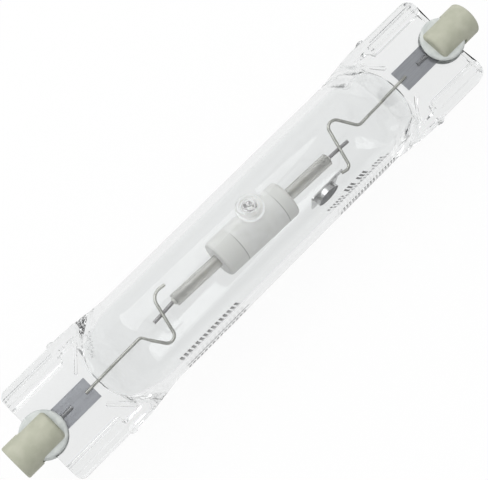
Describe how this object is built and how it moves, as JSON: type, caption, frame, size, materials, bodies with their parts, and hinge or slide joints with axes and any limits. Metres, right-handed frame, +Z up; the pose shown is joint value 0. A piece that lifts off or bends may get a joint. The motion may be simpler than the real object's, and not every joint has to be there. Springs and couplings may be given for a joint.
{
  "type": "metal halide lamp",
  "caption": "Double-ended discharge lamp: a clear pinched quartz bulb round a ceramic arc tube and a getter, with a recessed-contact ceramic cap at each end.",
  "frame": {"origin": "on the lamp's axis, half-way between the two caps, which is also the centre of volume", "axes": "+X along the axis towards the right cap, on whose lead the getter hangs; +Z up, square to the flat pinches, on the side of the exhaust tip; +Y across the pinches"},
  "size_m": [0.1176, 0.022, 0.021],
  "materials": {
    "quartz_glass": "clear fused quartz, fire-polished",
    "alumina": "translucent white sintered alumina",
    "cap_ceramic": "unglazed cream steatite",
    "cap_cement": "matt white cement",
    "nickel_plate": "satin nickel plate",
    "molybdenum": "drawn molybdenum",
    "molybdenum_foil": "rolled foil seen through the glass",
    "lead_wire": "drawn wire, satin",
    "niobium": "drawn niobium, satin",
    "sealing_frit": "melted oxide frit",
    "tungsten": "drawn tungsten",
    "getter_steel": "bright nickel-plated strip",
    "getter_alloy": "pressed grey getter powder"
  },
  "bodies": {
    "root": {"arc_tube_barrel": "alumina", "cap_cement_left": "cap_cement", "cap_cement_right": "cap_cement", "cap_contact_left": "nickel_plate", "cap_contact_right": "nickel_plate", "capillary_left": "alumina", "capillary_right": "alumina", "electrode_left": "tungsten", "electrode_right": "tungsten", "end_cap_left": "cap_ceramic", "end_cap_right": "cap_ceramic", "end_plug_left": "alumina", "end_plug_right": "alumina", "feedthrough_left": "niobium", "feedthrough_right": "niobium", "foil_left": "molybdenum_foil", "foil_right": "molybdenum_foil", "frit_seal_left": "sealing_frit", "frit_seal_right": "sealing_frit", "getter_cup": "getter_steel", "getter_plate": "getter_steel", "getter_tablet": "getter_alloy", "inner_lead_left": "lead_wire", "inner_lead_right": "lead_wire", "outer_bulb": "quartz_glass", "outer_lead_left": "molybdenum", "outer_lead_right": "molybdenum", "shank_coil_left": "molybdenum", "shank_coil_right": "molybdenum", "tip_coil_left": "tungsten", "tip_coil_right": "tungsten"}
  },
  "joints": []
}
